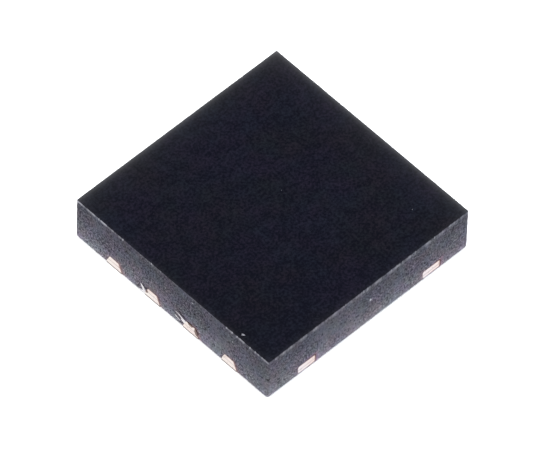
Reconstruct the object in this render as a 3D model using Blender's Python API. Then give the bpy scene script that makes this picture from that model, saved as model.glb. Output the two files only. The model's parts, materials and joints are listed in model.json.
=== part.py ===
# An eight-lead flat no-lead memory package, built from the inside out.
# An etched copper lead frame (a die paddle with its tie bars, and eight leads) carries a
# silicon die. Gold wires join the die to the leads. One block of black compound is moulded
# round all of it and sawn square, so each lead shows its cut end in a side face and its
# land in the underside. A tie bar shows its cut end alone, because it is etched from below.
#
# The origin is the middle of the seating plane. Leads 1 to 4 run from +Y to -Y along the
# -X side, and leads 5 to 8 back along the +X side. All lengths are in metres, written in
# thousandths, so 0.35e-3 is 0.35 mm.

import bmesh
import bpy
from math import atan2, pi, radians
from mathutils import Matrix, Vector
from mathutils.geometry import interpolate_bezier

# Moulded body
body_width = 4.00e-3           # along X, across the two rows of leads
body_length = 4.00e-3          # along Y
body_height = 0.85e-3
stand_off = 0.020e-3           # the lands and the pad stand this far below the compound
clearance = 0.004e-3           # between the compound and what it holds, and between seated pieces

# Strip that the lead frame is etched from
strip_thickness = 0.198e-3
etched_thickness = 0.096e-3    # what is left where it is etched from below
saw_offset = 0.027e-3          # the frame lies this far to +X of the middle of the saw lines

# Leads
leads_per_side = 4
lead_pitch = 0.80e-3
land_length = 0.35e-3
land_width = 0.315e-3
land_corner = 0.080e-3         # at the inner end of the land
flank_shoulder = 0.064e-3      # height at which the flank starts to narrow
shoulder_width = 0.306e-3
flank_top_width = 0.188e-3
head_width = 0.38e-3           # bonding head, etched from below
head_length = 0.26e-3
head_reach = 0.070e-3          # the head runs this far past the inner end of the land
head_corner = 0.060e-3

# Die paddle
frame_gap = 0.150e-3           # from the leads' heads to the paddle
paddle_end_margin = 0.30e-3    # from the paddle's ends to the saw lines
rim_width = 0.130e-3           # rim etched from below, which the compound grips
rim_corner = 0.080e-3
pad_corner = 0.060e-3
pin_one_chamfer = 0.30e-3
tie_bar_width = 0.345e-3
tie_bar_lift = 0.050e-3        # a shallow etch from below keeps the bars off the seating plane
tie_bar_corner = 0.036e-3
tie_bar_inset = 0.008e-3       # from the paddle's long sides
tie_bar_root = 0.150e-3        # how far a tie bar runs into the pad

# Die and the adhesive under it
die_width = 1.80e-3
die_length = 2.40e-3
die_thickness = 0.200e-3
window_size = 0.076e-3         # opening in the die's glassy top layer, over a bond pad
window_depth = 0.004e-3
window_inset = 0.080e-3        # from the die's edges to the middle of a window
attach_thickness = 0.020e-3
attach_spread = 0.090e-3       # adhesive squeezed out round the die
attach_climb = 0.070e-3        # how high it climbs the die's sides
attach_lip = 0.012e-3          # its width at the top of that climb
attach_corner = 0.050e-3

# Bond wires
wire_diameter = 0.025e-3
ball_diameter = 0.066e-3
ball_height = 0.018e-3
ball_shoulder = 0.009e-3       # height of the ball's upright wall
collar_diameter = 0.046e-3     # top of the ball, under the neck
neck_diameter = 0.029e-3
neck_height = 0.014e-3         # from the ball's top to the plain wire
loop_rise = 0.130e-3           # top of the loop above the die
crest_setback = 0.090e-3       # from the ball to the top of the loop
neck_pull = 0.60               # how far each bend holds its direction, as a share of its run
slope_pull = 0.36
settle_pull = 0.30
neck_points = 6
slope_points = 10
stitch_length = 0.070e-3
stitch_width = 0.046e-3        # at its tail, where it is pressed flat
stitch_heel = 0.020e-3
stitch_tail = 0.006e-3
stitch_inset = 0.120e-3        # from the inner end of the head to the middle of the stitch

corner_segments = 4
ball_segments = 16
weld_distance = 1e-8

half_width = body_width / 2
half_length = body_length / 2
body_top = stand_off + body_height
etched_underside = strip_thickness - etched_thickness
lead_inner_end = half_width - land_length - head_reach
paddle_half_width = lead_inner_end - frame_gap
paddle_half_length = half_length - paddle_end_margin
tie_bar_x = paddle_half_width - tie_bar_inset - tie_bar_width / 2
attach_bottom = strip_thickness + clearance
die_bottom = attach_bottom + attach_thickness + clearance
die_top = die_bottom + die_thickness
ball_seat = die_top - window_depth + clearance
stitch_seat = strip_thickness + clearance
lead_numbers = range(1, 2 * leads_per_side + 1)

for old in list(bpy.data.objects):
    bpy.data.objects.remove(old)

parts = bpy.data.collections.new("memory_chip")
cutters = bpy.data.collections.new("pocket_cutters")
bpy.context.scene.collection.children.link(parts)
bpy.context.scene.collection.children.link(cutters)
cutters.hide_render = True

package = bpy.data.objects.new("package", None)
parts.objects.link(package)


def finish(name, colour, roughness, metallic):
    """A Principled material of one colour."""
    material = bpy.data.materials.new(name)
    material.use_nodes = True
    shader = material.node_tree.nodes["Principled BSDF"]
    shader.inputs["Base Color"].default_value = (*colour, 1.0)
    shader.inputs["Roughness"].default_value = roughness
    shader.inputs["Metallic"].default_value = metallic
    return material


compound_finish = finish("mould_compound", (0.012, 0.012, 0.018), 0.75, 0.0)
copper_finish = finish("plated_copper", (0.86, 0.62, 0.50), 0.35, 1.0)
adhesive_finish = finish("silver_adhesive", (0.45, 0.45, 0.46), 0.55, 0.6)
silicon_finish = finish("silicon", (0.10, 0.11, 0.14), 0.18, 0.3)
gold_finish = finish("gold_wire", (0.90, 0.62, 0.22), 0.25, 1.0)


# Modelling steps that the pieces share


def mesh_from(bm):
    """Closes a bmesh into a mesh whose faces all point out."""
    bmesh.ops.recalc_face_normals(bm, faces=bm.faces)
    mesh = bpy.data.meshes.new("solid")
    bm.to_mesh(mesh)
    bm.free()
    return mesh


def block(x_range, y_range, z_range):
    """A bmesh box between two values on each axis."""
    bm = bmesh.new()
    bmesh.ops.create_cube(bm, size=1.0)
    ranges = (x_range, y_range, z_range)
    bmesh.ops.scale(bm, vec=[high - low for low, high in ranges], verts=bm.verts)
    bmesh.ops.translate(bm, vec=[(high + low) / 2 for low, high in ranges], verts=bm.verts)
    return bm


def plate_block(width, length, bottom, top):
    """A bmesh box centred in plan."""
    return block((-width / 2, width / 2), (-length / 2, length / 2), (bottom, top))


def rising_edges(bm):
    """The edges that lead from a lower face to a higher one."""
    steep = []
    for edge in bm.edges:
        run = edge.verts[1].co - edge.verts[0].co
        if abs(run.z) > max(abs(run.x), abs(run.y)):
            steep.append(edge)
    return steep


def round_edges(bm, edges, radius, segments=corner_segments):
    """Rounds edges, or chamfers them with one segment."""
    bmesh.ops.bevel(
        bm, geom=edges, offset=radius, segments=segments,
        affect="EDGES", profile=0.5, material=-1,
    )


def extruded(bm, face):
    """Extrudes a face on the spot, and gives the new end face to move."""
    ends_a_solid = any(len(edge.link_faces) > 1 for edge in face.edges)
    drawn = bmesh.ops.extrude_face_region(bm, geom=[face])["geom"]
    if ends_a_solid and face.is_valid:
        bm.faces.remove(face)
    return next(item for item in drawn if isinstance(item, bmesh.types.BMFace))


def fused(first_mesh, *other_meshes, operation="UNION"):
    """One closed mesh: the first joined with the others that overlap it, or cut by them."""
    objects = [bpy.data.objects.new("blank", mesh) for mesh in (first_mesh, *other_meshes)]
    for obj in objects:
        bpy.context.scene.collection.objects.link(obj)
    first = objects[0]
    for other in objects[1:]:
        join = first.modifiers.new("join", "BOOLEAN")
        join.operation = operation
        join.solver = "EXACT"
        join.object = other
    graph = bpy.context.evaluated_depsgraph_get()
    mesh = bpy.data.meshes.new_from_object(first.evaluated_get(graph))
    for obj in objects:
        bpy.data.objects.remove(obj)
    bm = bmesh.new()
    bm.from_mesh(mesh)
    bmesh.ops.dissolve_limit(bm, angle_limit=radians(0.2), verts=bm.verts, edges=bm.edges)
    bm.to_mesh(mesh)
    bm.free()
    return mesh


def split_faces(mesh):
    """Splits every face into triangles, so that a cut through it stays exact."""
    bm = bmesh.new()
    bm.from_mesh(mesh)
    bmesh.ops.triangulate(bm, faces=bm.faces)
    bm.to_mesh(mesh)
    bm.free()


def solid_object(name, mesh, material, collection=parts):
    """A named object with its finish, under the package's empty."""
    split_faces(mesh)
    mesh.name = name
    mesh.materials.clear()
    mesh.materials.append(material)
    obj = bpy.data.objects.new(name, mesh)
    collection.objects.link(obj)
    obj.parent = package
    return obj


def piece_and_pocket(name, make, material, x=0.0, y=0.0, turn=0.0):
    """The piece itself, and the cutter that leaves its pocket in the compound."""
    piece = solid_object(name, make(0.0), material)
    pocket = solid_object(name + "_pocket", make(clearance), material, cutters)
    pocket.hide_render = True
    pocket.display_type = "WIRE"
    for obj in (piece, pocket):
        obj.location = (x, y, 0)
        obj.rotation_euler = (0, 0, turn)


# Leads. Each is built pointing inwards along +X from its saw plane, at seating level.


def land_solid(length, grow):
    """A land whose flank narrows upwards, with round corners at its inner end."""
    flank = [
        (land_width / 2 + grow, -grow),
        (shoulder_width / 2 + grow, flank_shoulder),
        (flank_top_width / 2 + grow, strip_thickness + grow),
    ]
    outline = flank + [(-across, up) for across, up in reversed(flank)]
    inner_end = length + grow
    bm = bmesh.new()
    flank_face = bm.faces.new([bm.verts.new((-grow, across, up)) for across, up in outline])
    end_face = extruded(bm, flank_face)
    bmesh.ops.translate(bm, vec=(inner_end + grow, 0, 0), verts=end_face.verts)
    inner = [e for e in rising_edges(bm) if min(v.co.x for v in e.verts) > length / 2]
    round_edges(bm, inner, land_corner + grow)
    return mesh_from(bm)


def lead_solid(length, grow):
    """A land, and a wider bonding head that is etched from below."""
    head_end = length + head_reach + grow
    head = block(
        (head_end - head_length - 2 * grow, head_end),
        (-head_width / 2 - grow, head_width / 2 + grow),
        (etched_underside - grow, strip_thickness + grow),
    )
    round_edges(head, rising_edges(head), head_corner + grow)
    return fused(land_solid(length, grow), mesh_from(head))


def lead_place(number):
    """Side (-1 for -X, 1 for +X) and Y of a lead, numbered as on the package."""
    on_left = number <= leads_per_side
    step = number - 1 if on_left else 2 * leads_per_side - number
    y = ((leads_per_side - 1) / 2 - step) * lead_pitch
    return (-1 if on_left else 1), y


for number in lead_numbers:
    side, lead_y = lead_place(number)
    sawn_length = land_length - side * saw_offset
    piece_and_pocket(
        f"lead_{number}",
        lambda grow: lead_solid(sawn_length, grow),
        copper_finish,
        x=side * half_width,
        y=lead_y,
        turn=pi if side > 0 else 0.0,
    )


# Die paddle, in the lead frame's own place.


def tie_bar(side, end, grow):
    """A bar from the pad to a saw plane, round along its four long edges."""
    root = paddle_half_length - rim_width - tie_bar_root
    across = tie_bar_width / 2 + grow
    bm = block(
        (-across, across), (root, half_length + grow), (tie_bar_lift - grow, strip_thickness + grow),
    )
    long_edges = [e for e in bm.edges if abs(e.verts[0].co.y - e.verts[1].co.y) > across]
    round_edges(bm, long_edges, tie_bar_corner + grow)
    turned = Matrix.Rotation(0 if end > 0 else pi, 3, "Z")
    bmesh.ops.rotate(bm, cent=(0, 0, 0), matrix=turned, verts=bm.verts)
    bmesh.ops.translate(bm, vec=(side * tie_bar_x, 0, 0), verts=bm.verts)
    return mesh_from(bm)


def exposed_pad(grow):
    """The full-thickness pad, with a chamfered corner beside lead 1."""
    width = 2 * (paddle_half_width - rim_width + grow)
    length = 2 * (paddle_half_length - rim_width + grow)
    bm = plate_block(width, length, -grow, strip_thickness + grow)
    corners = rising_edges(bm)
    marked = [e for e in corners if e.verts[0].co.x < 0 < e.verts[0].co.y]
    plain = [e for e in corners if e not in marked]
    round_edges(bm, plain, pad_corner + grow)
    marked = [e for e in marked if e.is_valid]
    round_edges(bm, marked, pin_one_chamfer, segments=1)
    return mesh_from(bm)


def paddle_solid(grow):
    """The pad, its etched rim and the four tie bars."""
    rim = plate_block(
        2 * (paddle_half_width + grow), 2 * (paddle_half_length + grow),
        etched_underside - grow, strip_thickness + grow,
    )
    round_edges(rim, rising_edges(rim), rim_corner + grow)
    bars = [tie_bar(side, end, grow) for side in (-1, 1) for end in (-1, 1)]
    return fused(exposed_pad(grow), mesh_from(rim), *bars)


piece_and_pocket("die_paddle", paddle_solid, copper_finish, x=saw_offset)


# Die and adhesive


def window_place(number):
    """Plan place of a bond pad's window on the die, under the wire of that number."""
    side, lead_y = lead_place(number)
    outermost_lead = (leads_per_side - 1) / 2 * lead_pitch
    outermost_window = die_length / 2 - 2 * window_inset
    return side * (die_width / 2 - window_inset), lead_y / outermost_lead * outermost_window


def die_solid(grow):
    """The sawn silicon die, with a shallow window over each bond pad."""
    blank = plate_block(die_width + 2 * grow, die_length + 2 * grow, die_bottom - grow, die_top + grow)
    if grow:
        return mesh_from(blank)
    windows = []
    for number in lead_numbers:
        x, y = window_place(number)
        window = plate_block(window_size, window_size, die_top - window_depth, die_top + window_depth)
        bmesh.ops.translate(window, vec=(x, y, 0), verts=window.verts)
        windows.append(mesh_from(window))
    return fused(mesh_from(blank), *windows, operation="DIFFERENCE")


def die_attach_solid(grow):
    """Cured adhesive: a thin bed under the die, and a fillet that climbs its sides."""
    bottom = attach_bottom - grow
    top = die_bottom + attach_climb + grow
    width = die_width + 2 * (attach_spread + grow)
    length = die_length + 2 * (attach_spread + grow)
    bm = plate_block(width, length, bottom, top)
    taper = 2 * (attach_spread - clearance - attach_lip)
    upper = [v for v in bm.verts if v.co.z > die_bottom]
    bmesh.ops.scale(bm, vec=(1 - taper / width, 1 - taper / length, 1), verts=upper)
    round_edges(bm, rising_edges(bm), attach_corner + grow)
    bed = mesh_from(bm)
    if grow:
        return bed
    seat = plate_block(
        die_width + 2 * clearance, die_length + 2 * clearance, die_bottom - clearance, die_top,
    )
    return fused(bed, mesh_from(seat), operation="DIFFERENCE")


piece_and_pocket("die_attach", die_attach_solid, adhesive_finish, x=saw_offset)
piece_and_pocket("die", die_solid, silicon_finish, x=saw_offset)


# Bond wires. Each is built along +X from the middle of its ball, which is at the origin.


def wire_ends(number):
    """Plan places of a wire's ball, on the die, and of its stitch, on the lead."""
    side, lead_y = lead_place(number)
    window_x, window_y = window_place(number)
    ball = Vector((saw_offset + window_x, window_y, 0))
    stitch = Vector((saw_offset + side * (lead_inner_end + stitch_inset), lead_y, 0))
    return ball, stitch


def wire_route(span):
    """Points of the drawn wire: up from the ball, over a low crest, and down to the stitch."""
    start = Vector((0, 0, ball_seat + ball_height / 2))
    crest = Vector((crest_setback, 0, die_top + loop_rise - wire_diameter / 2))
    touch = Vector((span, 0, stitch_seat + (wire_diameter + stitch_tail) / 2))
    neck = Vector((0, 0, (crest.z - start.z) * neck_pull))
    level = Vector((crest_setback * neck_pull, 0, 0))
    slope = Vector(((span - crest_setback) * slope_pull, 0, 0))
    settle = Vector((-slope.x, 0, (crest.z - touch.z) * settle_pull))
    rise = interpolate_bezier(start, start + neck, crest - level, crest, neck_points)
    fall = interpolate_bezier(crest, crest + slope, touch + settle, touch, slope_points)
    return rise + fall[1:]


def wire_tube(span, grow):
    """The drawn wire, round and of one diameter."""
    route = wire_route(span)
    curve = bpy.data.curves.new("wire", "CURVE")
    curve.dimensions = "3D"
    curve.bevel_depth = wire_diameter / 2 + grow
    curve.bevel_resolution = 2
    curve.use_fill_caps = True
    spline = curve.splines.new("POLY")
    spline.points.add(len(route) - 1)
    for point, at in zip(spline.points, route):
        point.co = (*at, 1.0)
    tube = bpy.data.objects.new("wire", curve)
    bpy.context.scene.collection.objects.link(tube)
    graph = bpy.context.evaluated_depsgraph_get()
    mesh = bpy.data.meshes.new_from_object(tube.evaluated_get(graph))
    bpy.data.objects.remove(tube)
    bm = bmesh.new()
    bm.from_mesh(mesh)
    bmesh.ops.remove_doubles(bm, verts=bm.verts, dist=weld_distance)
    return mesh_from(bm)


def ball_bond(grow):
    """The gold ball, pressed flat in its window, and the neck that it leaves on the wire."""
    rings = [
        (ball_diameter, 0),
        (ball_diameter, ball_shoulder),
        (collar_diameter, ball_height),
        (neck_diameter, ball_height + neck_height),
    ]
    bm = bmesh.new()
    bmesh.ops.create_circle(bm, cap_ends=True, segments=ball_segments, radius=ball_diameter / 2 + grow)
    bmesh.ops.translate(bm, vec=(0, 0, ball_seat - grow), verts=bm.verts)
    face = bm.faces[:][0]
    for (below, _), (above, height) in zip(rings, rings[1:]):
        face = extruded(bm, face)
        ratio = (above + 2 * grow) / (below + 2 * grow)
        bmesh.ops.scale(bm, vec=(ratio, ratio, 1), verts=face.verts)
        for corner in face.verts:
            corner.co.z = ball_seat + height + grow
    return mesh_from(bm)


def stitch_bond(span, grow):
    """The wire's far end, pressed from a round heel to a wide flat tail."""
    stations = [
        (span, stitch_width, (stitch_heel + stitch_tail) / 2),
        (span + stitch_length / 2 + grow, stitch_width, stitch_tail),
    ]
    heel = span - stitch_length / 2 - grow
    seat = stitch_seat - grow
    heel_half_width = (wire_diameter + stitch_width) / 4 + grow
    side_to_side = (-heel_half_width, heel_half_width)
    bm = block((heel, span), side_to_side, (seat, stitch_seat + stitch_heel + grow))
    face = max(bm.faces, key=lambda f: f.calc_center_median().x)
    for along, width, height in stations:
        if along > span:
            face = extruded(bm, face)
        low = min(corner.co.z for corner in face.verts)
        for corner in face.verts:
            side = 1 if corner.co.y > 0 else -1
            raised = corner.co.z > low
            corner.co = (along, side * (width / 2 + grow), stitch_seat + height + grow if raised else seat)
    return mesh_from(bm)


def wire_solid(span, grow):
    """Ball, loop and stitch in one piece of gold."""
    reach = span - stitch_length / 4
    return fused(wire_tube(reach, grow), ball_bond(grow), stitch_bond(span, grow))


for number in lead_numbers:
    ball, stitch = wire_ends(number)
    run = stitch - ball
    piece_and_pocket(
        f"bond_wire_{number}",
        lambda grow: wire_solid(run.length, grow),
        gold_finish,
        x=ball.x,
        y=ball.y,
        turn=atan2(run.y, run.x),
    )


# Moulded body: a sawn block, less the pockets of everything it holds.

body = solid_object(
    "mould_body",
    mesh_from(plate_block(body_width, body_length, stand_off, body_top)),
    compound_finish,
)
pockets = body.modifiers.new("pockets", "BOOLEAN")
pockets.operation = "DIFFERENCE"
pockets.solver = "EXACT"
pockets.operand_type = "COLLECTION"
pockets.collection = cutters
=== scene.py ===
import json
import math
import random
from functools import partial

import bmesh
import bpy
from mathutils import Matrix, Vector, kdtree, noise

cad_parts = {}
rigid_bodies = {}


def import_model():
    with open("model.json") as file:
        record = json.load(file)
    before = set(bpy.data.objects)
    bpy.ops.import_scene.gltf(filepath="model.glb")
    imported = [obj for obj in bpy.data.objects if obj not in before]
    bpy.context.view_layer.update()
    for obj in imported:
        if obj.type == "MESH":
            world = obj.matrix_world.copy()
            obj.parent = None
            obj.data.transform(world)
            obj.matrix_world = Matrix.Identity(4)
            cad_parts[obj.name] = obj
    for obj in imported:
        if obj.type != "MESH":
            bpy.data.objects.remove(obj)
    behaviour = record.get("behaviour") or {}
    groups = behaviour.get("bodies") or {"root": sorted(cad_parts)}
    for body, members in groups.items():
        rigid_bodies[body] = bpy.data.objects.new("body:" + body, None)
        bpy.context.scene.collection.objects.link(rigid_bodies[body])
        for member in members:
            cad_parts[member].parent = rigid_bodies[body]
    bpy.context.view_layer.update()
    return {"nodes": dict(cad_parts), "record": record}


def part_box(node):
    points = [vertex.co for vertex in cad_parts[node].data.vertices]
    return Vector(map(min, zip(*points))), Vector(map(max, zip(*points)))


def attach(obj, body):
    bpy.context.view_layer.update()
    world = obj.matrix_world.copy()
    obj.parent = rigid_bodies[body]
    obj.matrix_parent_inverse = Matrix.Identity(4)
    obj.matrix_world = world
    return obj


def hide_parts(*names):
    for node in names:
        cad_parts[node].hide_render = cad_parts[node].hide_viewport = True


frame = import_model()

mm = 0.001  # the scene is in metres, and its settings are written in mm
bodyLow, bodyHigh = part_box("mould_body")
bodySize = bodyHigh - bodyLow
half = bodySize.x / 2


# Studio

cameraSetup = {
    "azimuth": -45.328,  # degrees, as are the next two
    "elevation": 53.016,
    "roll": 1.887,
    "distance": 197.60 * mm,
    "slideRight": -0.0216 * mm,  # of the view, from the middle of the underside
    "slideUp": 0.2268 * mm,
    "lens": 910.17,
    "nearest": 1 * mm,
    "farthest": 10.0,
}


def newObject(name, data):
    made = bpy.data.objects.new(name, data)
    bpy.context.scene.collection.objects.link(made)
    return made


def rotation(angle, axis):
    return Matrix.Rotation(math.radians(angle), 4, axis)


def aimed(azimuth, elevation):
    return rotation(azimuth, "Z") @ rotation(90 - elevation, "X")


def makeCamera(azimuth, elevation, roll, distance, slideRight, slideUp, lens, nearest, farthest):
    data = bpy.data.cameras.new("camera")
    data.lens = lens
    data.clip_start = nearest
    data.clip_end = farthest
    camera = newObject("camera", data)
    bpy.context.scene.camera = camera
    aim = Matrix.Translation((0, 0, bodyLow.z)) @ aimed(azimuth, elevation) @ rotation(roll, "Z")
    camera.matrix_world = aim @ Matrix.Translation((slideRight, slideUp, distance))


def addNode(tree, kind, feeds=None, **settings):
    made = tree.nodes.new("ShaderNode" + kind)
    for name, value in settings.items():
        setattr(made, name, value)
    for socket, value in (feeds or {}).items():
        plug(made.inputs[socket], value)
    return made


def plug(socket, value):
    if isinstance(value, bpy.types.NodeSocket):
        socket.id_data.links.new(value, socket)
    else:
        socket.default_value = (*value, 1.0) if socket.type == "RGBA" else value


def derive(kind, feeds, output=0, **settings):
    # adds a node beside those that feed it
    tree = next(value.id_data for value in feeds.values() if isinstance(value, bpy.types.NodeSocket))
    return addNode(tree, kind, feeds, **settings).outputs[output]


def maths(operation, *values, clamp=False):
    return derive("Math", dict(enumerate(values)), operation=operation, use_clamp=clamp)


add = partial(maths, "ADD")
subtract = partial(maths, "SUBTRACT")
times = partial(maths, "MULTIPLY")
divide = partial(maths, "DIVIDE")
scaleAdd = partial(maths, "MULTIPLY_ADD")
largest = partial(maths, "MAXIMUM")
absolute = partial(maths, "ABSOLUTE")
exponent = partial(maths, "EXPONENT")
signOf = partial(maths, "SIGN")
isAbove = partial(maths, "GREATER_THAN")
isBelow = partial(maths, "LESS_THAN")


def ramp(value, start, end, low=0.0, high=1.0, kind="SMOOTHSTEP"):
    feeds = {"Value": value, "From Min": start, "From Max": end, "To Min": low, "To Max": high}
    return derive("MapRange", feeds, interpolation_type=kind)


def choose(share, first, second):
    return ramp(share, 0, 1, first, second, "LINEAR")


def mix(share, first, second):
    return derive("Mix", {0: share, 6: first, 7: second}, 2, data_type="RGBA")


def tinted(colour, tint):
    return derive("Mix", {0: 1.0, 6: colour, 7: tint}, 2, data_type="RGBA", blend_type="MULTIPLY")


def mixShaders(share, first, second):
    return derive("MixShader", {0: share, 1: first, 2: second})


def grey(level):
    return (level, level, level)


studioSetup = {
    "floorAcross": 600 * mm,
    "floorAside": 60 * mm,  # keeps the seam between its triangles from under the object
    "floorDrop": 0.008 * mm,  # keeps the floor clear of the lands
    "floorGlow": 0.72,  # the light that it throws on the object
    "floorInMetal": 0.97,
    "floorBright": 1.0,  # of each of its two layers, so the gap under the body is grey
    "skyLevel": 0.62,
    "skyColour": (0.97, 0.98, 1.0),
}

# azimuth and elevation (degrees), power (watts), diameter (metres) and colour
lampSetup = {
    "keyLeft": (-105, 42, 1.05, 0.42, (1.0, 1.0, 1.0)),
    "keyRight": (18, 42, 1.10, 0.42, (0.92, 0.99, 1.04)),
    "overhead": (135, 74, 0.55, 0.55, (1.0, 1.0, 1.0)),
}
lampDistance = 0.60


def makeFloor():
    bm = bmesh.new()
    bmesh.ops.create_grid(bm, x_segments=1, y_segments=1, size=studioSetup["floorAcross"] / 2)
    bmesh.ops.translate(bm, vec=(studioSetup["floorAside"], 0, -studioSetup["floorDrop"]), verts=bm.verts)
    floor = meshObject("studioFloor", bm)
    material = bpy.data.materials.new("paleFloor")
    material.use_nodes = True
    tree = material.node_tree
    tree.nodes.clear()
    path = addNode(tree, "LightPath").outputs
    layer = addNode(tree, "BsdfDiffuse", {"Color": grey(studioSetup["floorBright"])}).outputs[0]
    bright = derive("AddShader", {0: layer, 1: layer})
    clear = addNode(tree, "BsdfTransparent").outputs[0]
    fromBelow = addNode(tree, "NewGeometry").outputs["Backfacing"]
    shown = mixShaders(fromBelow, bright, clear)
    mirrored = add(path["Is Glossy Ray"], path["Is Transmission Ray"], clamp=True)
    level = choose(mirrored, studioSetup["floorGlow"], studioSetup["floorInMetal"])
    glow = derive("Emission", {"Strength": level})
    mixed = mixShaders(path["Is Camera Ray"], glow, shown)
    addNode(tree, "OutputMaterial", {"Surface": mixed})
    floor.data.materials.append(material)


def makeSky():
    world = bpy.data.worlds.new("studioSky")
    world.use_nodes = True
    tree = world.node_tree
    tree.nodes.clear()
    feeds = {"Color": studioSetup["skyColour"], "Strength": studioSetup["skyLevel"]}
    soft = addNode(tree, "Background", feeds).outputs[0]
    white = addNode(tree, "Background", {"Color": grey(1.0)}).outputs[0]
    path = addNode(tree, "LightPath").outputs
    seen = add(path["Is Camera Ray"], path["Is Glossy Ray"])
    seen = add(seen, path["Is Transmission Ray"], clamp=True)
    addNode(tree, "OutputWorld", {"Surface": mixShaders(seen, soft, white)})
    bpy.context.scene.world = world
    bpy.context.scene.view_settings.view_transform = "Standard"


def makeLamp(name, azimuth, elevation, power, across, colour):
    data = bpy.data.lights.new(name, "AREA")
    data.shape = "DISK"
    data.size = across
    data.energy = power
    data.color = colour
    light = newObject(name, data)
    light.visible_camera = False
    light.matrix_world = aimed(azimuth, elevation) @ Matrix.Translation((0, 0, lampDistance))


def meshObject(name, bm):
    mesh = bpy.data.meshes.new(name)
    bm.to_mesh(mesh)
    bm.free()
    return newObject(name, mesh)


makeCamera(**cameraSetup)
makeFloor()
makeSky()
for lampName, lamp in lampSetup.items():
    makeLamp(lampName, *lamp)
print("studio: camera, floor, sky and", len(lampSetup), "lamps")


# Effects that several finishes share. Each reads the piece's own coordinates, and what it is given is
# in mm or per mm.


def newGroup(name, inputs, outputs):
    tree = bpy.data.node_groups.new(name, "ShaderNodeTree")
    for label, value in inputs.items():
        socket = tree.interface.new_socket(name=label, in_out="INPUT", socket_type="NodeSocketFloat")
        socket.default_value = value
    for label in outputs:
        tree.interface.new_socket(name=label, in_out="OUTPUT", socket_type="NodeSocketFloat")
    return tree, tree.nodes.new("NodeGroupInput").outputs, tree.nodes.new("NodeGroupOutput").inputs


def perMetre(perMillimetre):
    return times(perMillimetre, 1 / mm)


def objectPlace(tree):
    return addNode(tree, "TexCoord").outputs["Object"]


def objectAxes(tree):
    return addNode(tree, "SeparateXYZ", {0: objectPlace(tree)}).outputs


def gapFrom(tree, point):
    feeds = {0: objectPlace(tree), 1: point}
    return derive("VectorMath", feeds, "Value", operation="DISTANCE")


def makeSpeckleGroup():
    # round grains of several tones, and the finer noise between them
    inputs = {"Grains": 40, "Noise": 90, "Flatness": 1.0}
    tree, given, result = newGroup("speckle", inputs, ("Grain", "Noise"))
    squash = derive("CombineXYZ", {0: 1.0, 1: 1.0, 2: given["Flatness"]})
    place = derive("VectorMath", {0: objectPlace(tree), 1: squash}, operation="MULTIPLY")
    feeds = {"Vector": place, "Scale": perMetre(given["Grains"])}
    cells = addNode(tree, "TexVoronoi", feeds).outputs
    tone = addNode(tree, "SeparateColor", {0: cells["Color"]}).outputs
    reach = ramp(tone[1], 0.0, 1.0, 0.15, 0.55, "LINEAR")
    inside = subtract(reach, cells["Distance"])
    disc = ramp(inside, -0.06, 0.06)
    plug(result["Grain"], times(disc, tone[0]))
    feeds = {"Vector": place, "Scale": perMetre(given["Noise"]), "Detail": 3, "Roughness": 0.6}
    plug(result["Noise"], ramp(derive("TexNoise", feeds), 0.39, 0.61, kind="LINEAR"))
    return tree


def makeCloudGroup():
    # slow change of tone from place to place
    tree, given, result = newGroup("cloud", {"Clouds": 1.2, "Shift": 0.0}, ("Cloud",))
    shift = derive("CombineXYZ", {2: given["Shift"]})
    shifted = derive("VectorMath", {0: objectPlace(tree), 1: shift}, operation="ADD")
    feeds = {"Vector": shifted, "Scale": perMetre(given["Clouds"]), "Detail": 2}
    plug(result["Cloud"], ramp(derive("TexNoise", feeds), 0.32, 0.68))
    return tree


def makeCutLineGroup():
    # the blade's lines, which run level round the object
    tree, given, result = newGroup("cutLine", {"Lines": 60, "Run": 0.03}, ("Line",))
    axes = objectAxes(tree)
    along = [times(axes[axis], given["Run"]) for axis in (0, 1)]
    stretched = derive("CombineXYZ", {0: along[0], 1: along[1], 2: axes[2]})
    feeds = {"Vector": stretched, "Scale": perMetre(given["Lines"]), "Detail": 2}
    plug(result["Line"], ramp(derive("TexNoise", feeds), 0.3, 0.7, kind="LINEAR"))
    return tree


speckle = makeSpeckleGroup()
cloud = makeCloudGroup()
cutLine = makeCutLineGroup()


def placeGroup(tree, group, **values):
    made = addNode(tree, "Group", node_tree=group)
    for label, value in values.items():
        plug(made.inputs[label], value)
    return made.outputs


def cloudAt(tree, perMm, shift=0.0):
    return placeGroup(tree, cloud, Clouds=perMm, Shift=shift)["Cloud"]


def linesAt(tree, perMm, run):
    return placeGroup(tree, cutLine, Lines=perMm, Run=run)["Line"]


def grainTone(grain, noiseShare, grainShare):
    return scaleAdd(grain["Noise"], noiseShare, times(grain["Grain"], grainShare))


def newMaterial(name, roughness, metallic=0.0, specular=0.5):
    material = bpy.data.materials.new(name)
    material.use_nodes = True
    shader = material.node_tree.nodes["Principled BSDF"]
    plug(shader.inputs["Roughness"], roughness)
    plug(shader.inputs["Metallic"], metallic)
    plug(shader.inputs["Specular IOR Level"], specular)
    return material, material.node_tree, shader.inputs


def bump(height, distance, **under):
    return derive("Bump", {"Height": height, "Distance": distance, **under})


def makeGrainyFinish(name, roughness, metallic, noisePerMm, colours):
    material, tree, shader = newMaterial(name, roughness, metallic)
    grain = placeGroup(tree, speckle, Grains=90, Noise=noisePerMm)
    plug(shader["Base Color"], mix(grain["Noise"], *colours))
    plug(shader["Normal"], bump(grain["Noise"], 0.001 * mm))
    return material


# Moulded body: finishes

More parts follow.
